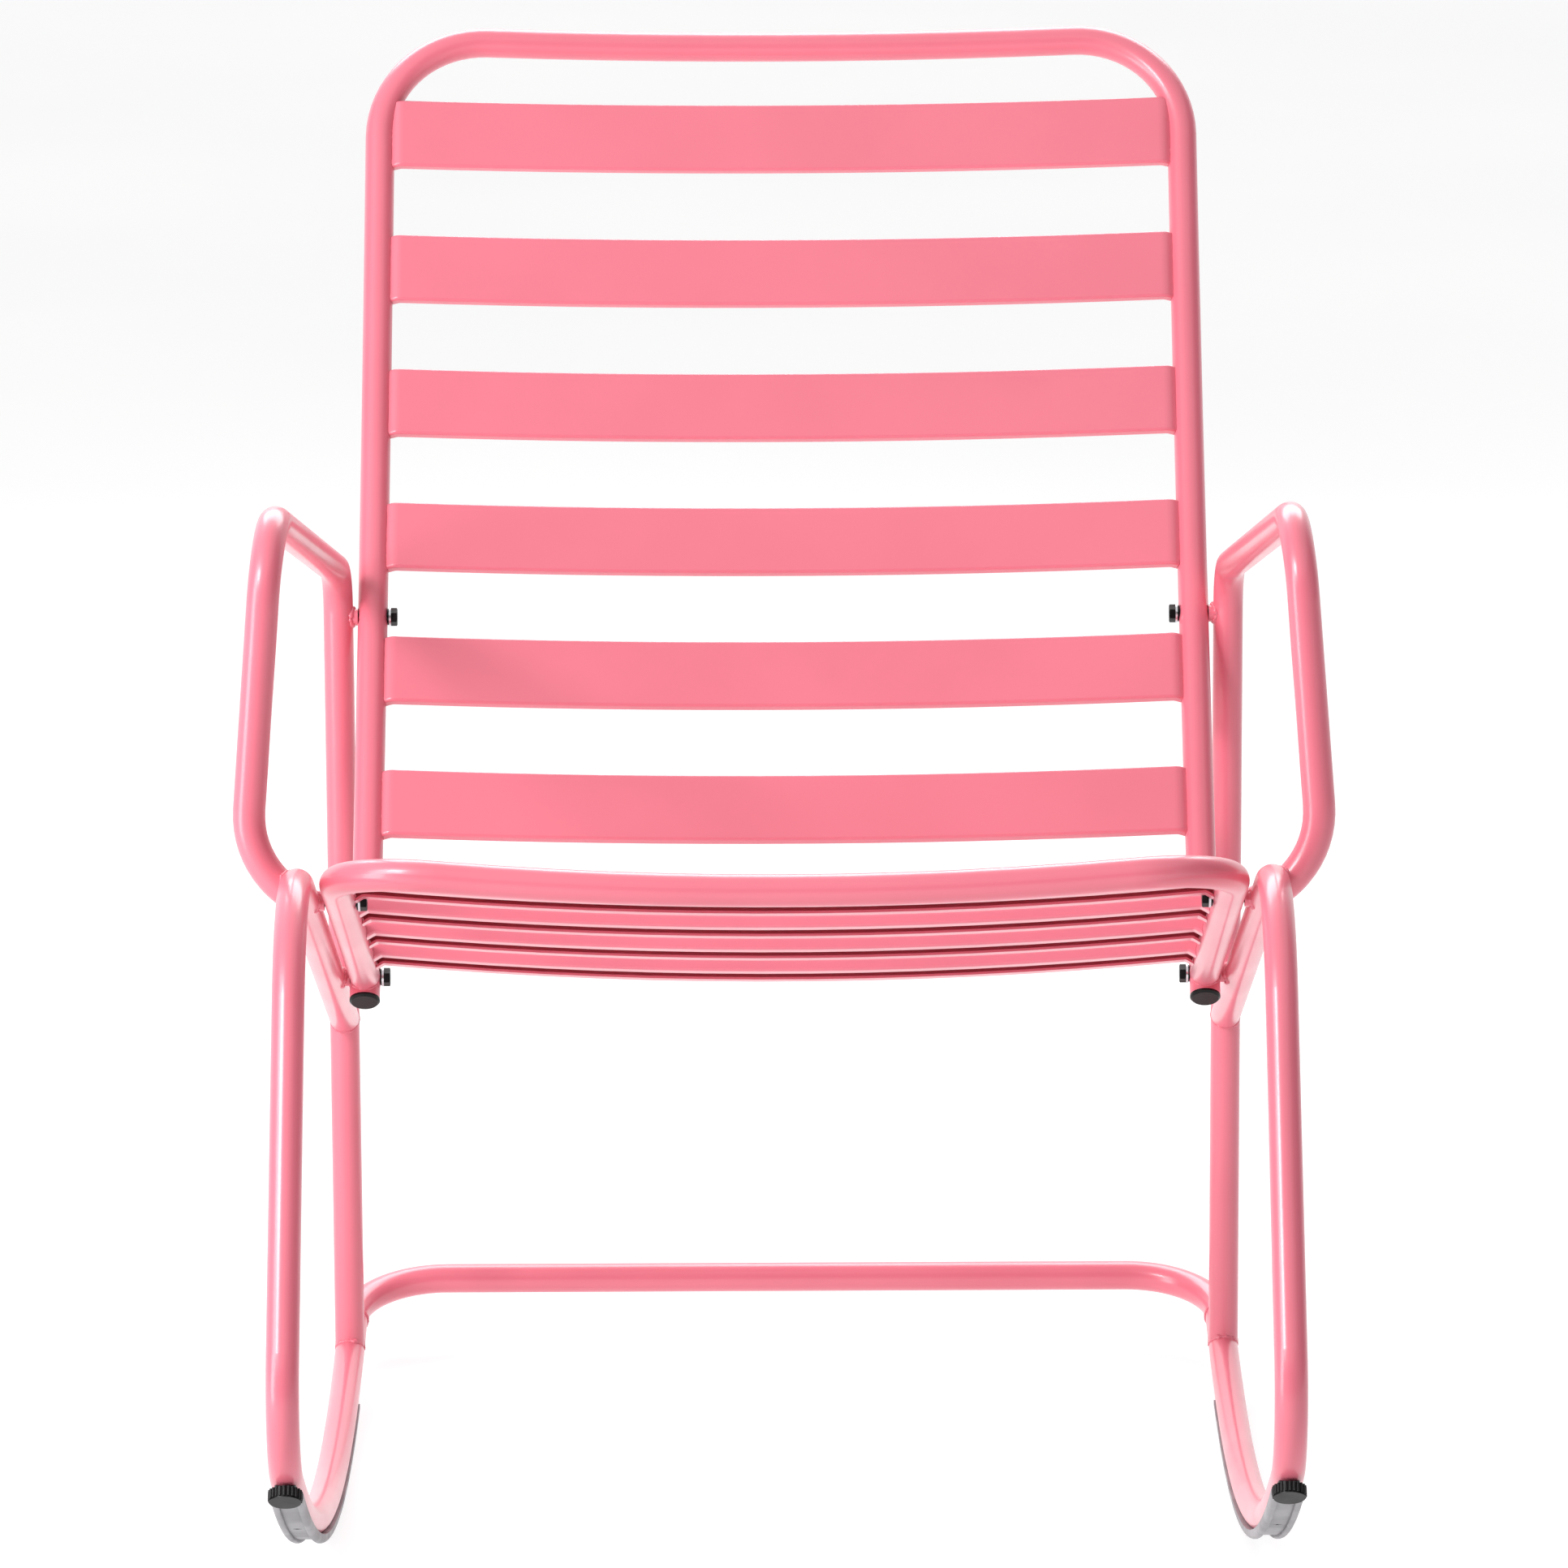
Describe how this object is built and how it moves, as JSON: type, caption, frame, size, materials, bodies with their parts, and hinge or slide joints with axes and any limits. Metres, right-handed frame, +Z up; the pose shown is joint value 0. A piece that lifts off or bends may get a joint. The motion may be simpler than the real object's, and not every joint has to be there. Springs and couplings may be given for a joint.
{
  "type": "metal rocking chair",
  "caption": "Rocking chair of bent, powder-coated steel tube with slatted seat and reclined slatted back, looped armrests, and curved rockers with plastic glide strips.",
  "frame": {"origin": "on the floor, midway between the points where the two rockers touch it when the chair stands empty", "axes": "+X to the right of someone facing the chair, -Y towards the chair's front, +Z up"},
  "size_m": [0.6428, 0.9934, 0.8588],
  "materials": {
    "pink_powder_coat": "satin powder coat",
    "grey_plastic": "matt moulded",
    "black_plastic": "matt moulded",
    "black_steel": "black coated",
    "zinc_steel": "bright zinc"
  },
  "bodies": {
    "root": {"arm_tube_left": "pink_powder_coat", "arm_tube_right": "pink_powder_coat", "back_frame_tube": "pink_powder_coat", "back_slat_1": "pink_powder_coat", "back_slat_2": "pink_powder_coat", "back_slat_3": "pink_powder_coat", "back_slat_4": "pink_powder_coat", "back_slat_5": "pink_powder_coat", "back_slat_6": "pink_powder_coat", "flat_washers": "zinc_steel", "front_bumper_left": "black_plastic", "front_bumper_right": "black_plastic", "glide_strip_left": "grey_plastic", "glide_strip_right": "grey_plastic", "hex_bolts": "black_steel", "leg_plug_left": "black_plastic", "leg_plug_right": "black_plastic", "rear_cross_tube": "pink_powder_coat", "seat_frame_tube": "pink_powder_coat", "seat_slat_1": "pink_powder_coat", "seat_slat_2": "pink_powder_coat", "seat_slat_3": "pink_powder_coat", "seat_slat_4": "pink_powder_coat", "side_tube_left": "pink_powder_coat", "side_tube_right": "pink_powder_coat", "spacer_washers": "black_plastic", "strip_screws": "black_steel", "threaded_bosses": "pink_powder_coat"}
  },
  "joints": []
}
